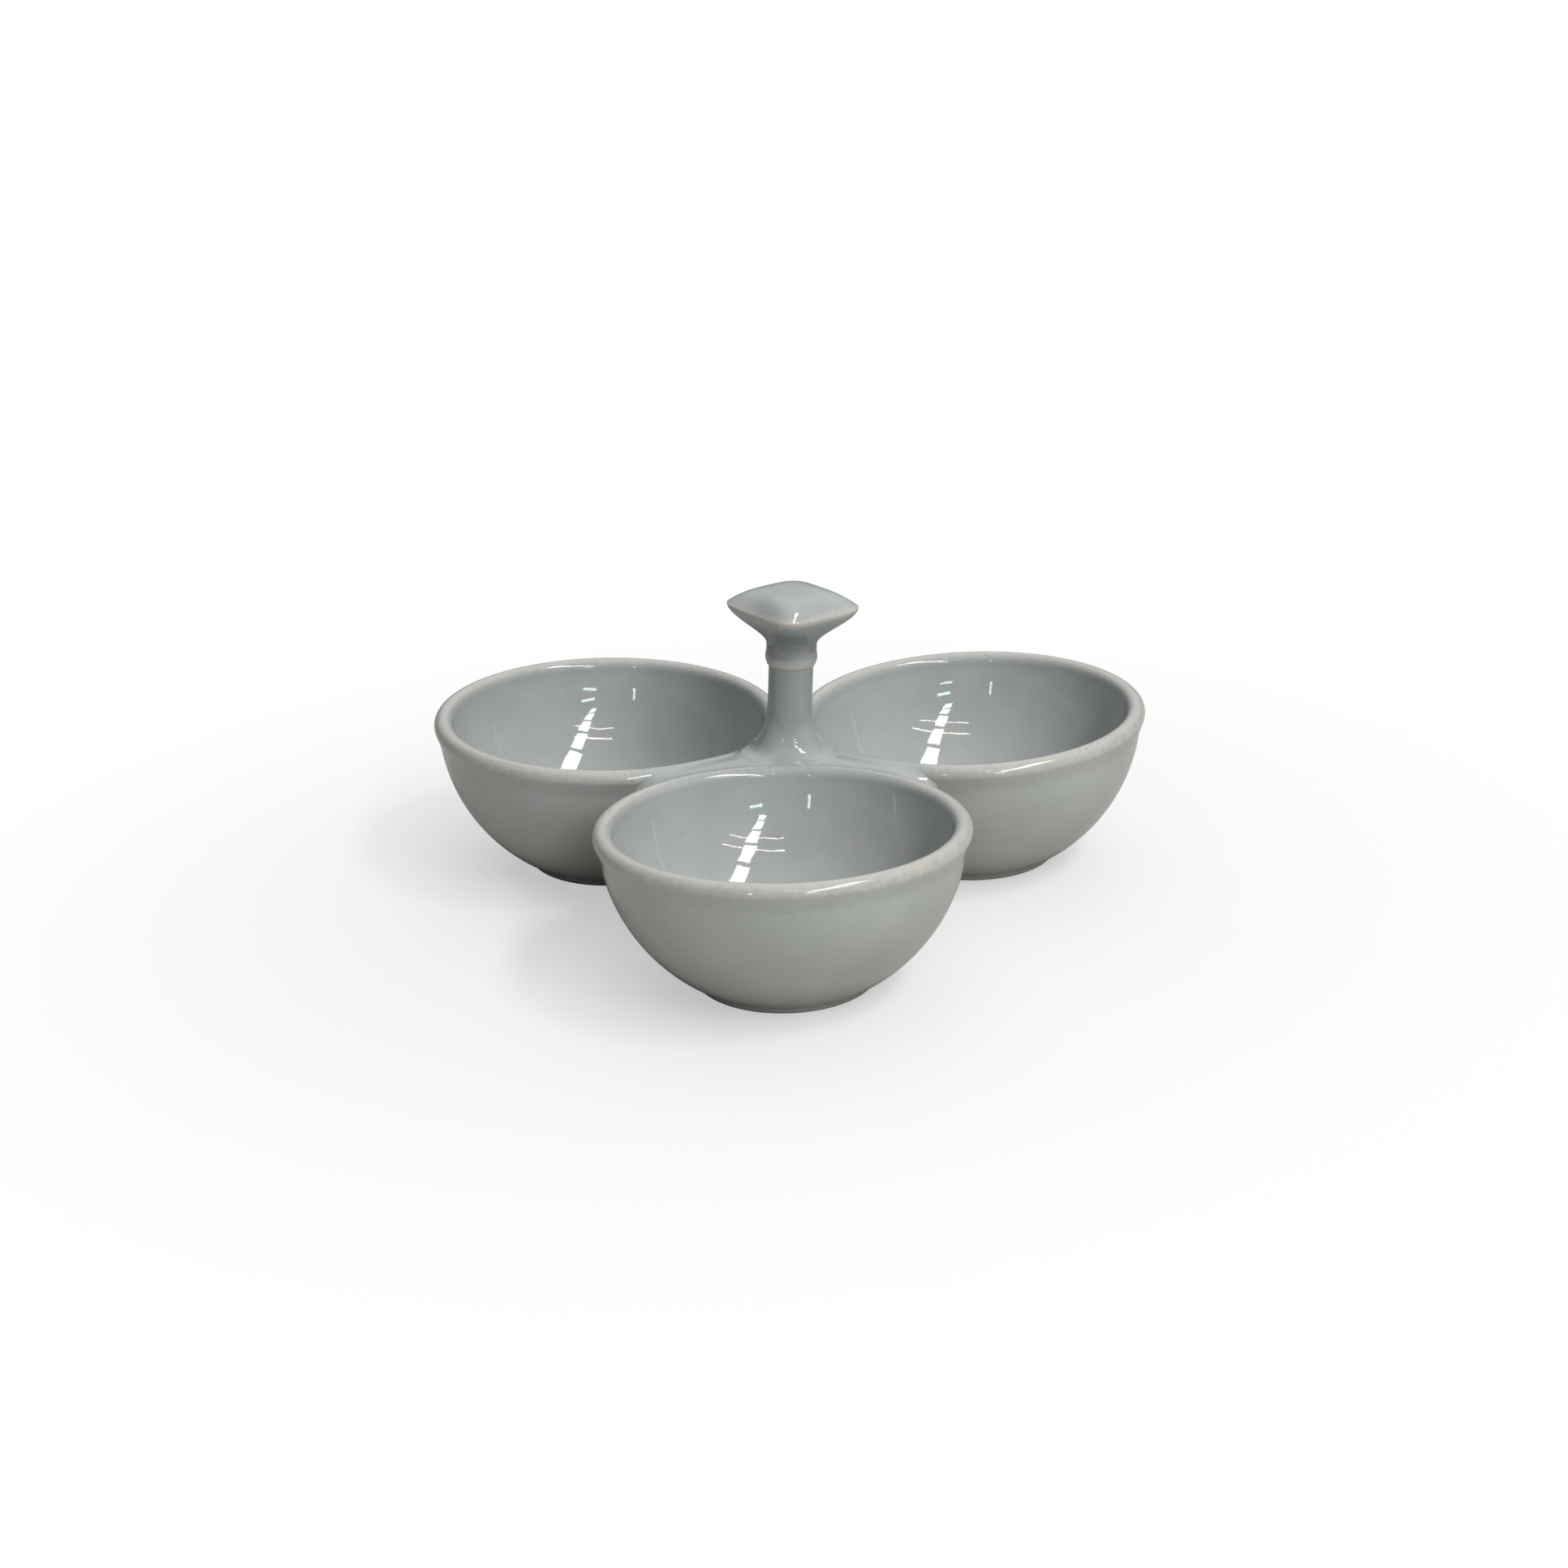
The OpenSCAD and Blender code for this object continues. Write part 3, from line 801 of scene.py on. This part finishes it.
# Room. A dim room with a soft glow from its ceiling, its right and its back, each a power of the cosine to
# its direction. The camera alone sees it white.
room_dark = 0.02
room_tint = (0.93, 1.0, 1.05, 1.0)
room_glow = {"ceiling": ((0.0, 0.0, 1.0), 0.80),
             "right": ((0.743, 0.0, 0.669), 0.35),
             "back": ((0.0, 0.743, 0.669), 1.05)}
glow_focus = 6.0
room = bpy.data.worlds.new("studio")
bpy.context.scene.world = room
room.use_nodes = True
tree = room.node_tree
background = tree.nodes["Background"]
background.inputs["Color"].default_value = room_tint
outward = tree.nodes.new("ShaderNodeTexCoord").outputs["Generated"]
level = room_dark
for direction, strength in room_glow.values():
    facing = new_node(tree, "ShaderNodeVectorMath", {1: direction}, operation="DOT_PRODUCT")
    link(tree, outward, facing.inputs[0])
    ahead = calc(tree, "MAXIMUM", facing.outputs["Value"], 0.0)
    level = calc(tree, "MULTIPLY_ADD", calc(tree, "POWER", ahead, glow_focus), strength, level)
path = tree.nodes.new("ShaderNodeLightPath")
seen = new_node(tree, "ShaderNodeMix", {3: 1.0}, data_type="FLOAT")
link(tree, path.outputs["Is Camera Ray"], seen.inputs[0], level, seen.inputs[2],
     seen.outputs[0], background.inputs["Strength"])

# Floor. A plain pale sheet that keeps the object's shadow and fades to white away from it. Other rays than
# the camera's see it duller, as the table that the glaze mirrors.
floor_half = 3.0
floor_pale = (0.88, 0.88, 0.87, 1.0)
floor_bounce = (0.58, 0.56, 0.51, 1.0)
fade_span, fade_share = (0.08, 0.34), (0.5, 1.0)
corners = floor_half * np.array([(-1, -1, 0), (1, -1, 0), (1, 1, 0), (-1, 1, 0)])
floor_mesh = bpy.data.meshes.new("floor")
floor_mesh.from_pydata(corners.tolist(), [], [(0, 1, 2, 3)])


def floor_finish():
    """Matte paint that fades into plain white with the distance, for the camera; a duller matte otherwise."""
    material = bpy.data.materials.new("floor_paint")
    material.use_nodes = True
    tree = material.node_tree
    tree.nodes.remove(tree.nodes["Principled BSDF"])
    matte = new_node(tree, "ShaderNodeBsdfDiffuse", {"Color": floor_pale})
    bounce = new_node(tree, "ShaderNodeBsdfDiffuse", {"Color": floor_bounce})
    white = tree.nodes.new("ShaderNodeEmission")
    place = tree.nodes.new("ShaderNodeTexCoord")
    away = new_node(tree, "ShaderNodeVectorMath", operation="LENGTH")
    path = tree.nodes.new("ShaderNodeLightPath")
    shown = tree.nodes.new("ShaderNodeMixShader")
    both = tree.nodes.new("ShaderNodeMixShader")
    link(tree, place.outputs["Object"], away.inputs[0])
    link(tree, span(tree, away.outputs["Value"], fade_span, fade_share), shown.inputs[0],
         matte.outputs[0], shown.inputs[1], white.outputs[0], shown.inputs[2],
         path.outputs["Is Camera Ray"], both.inputs[0], bounce.outputs[0], both.inputs[1],
         shown.outputs[0], both.inputs[2], both.outputs[0], tree.nodes["Material Output"].inputs["Surface"])
    return material


floor_mesh.materials.append(floor_finish())
floor = bpy.data.objects.new("floor", floor_mesh)
bpy.context.scene.collection.objects.link(floor)
bpy.context.scene.view_settings.view_transform = "Standard"
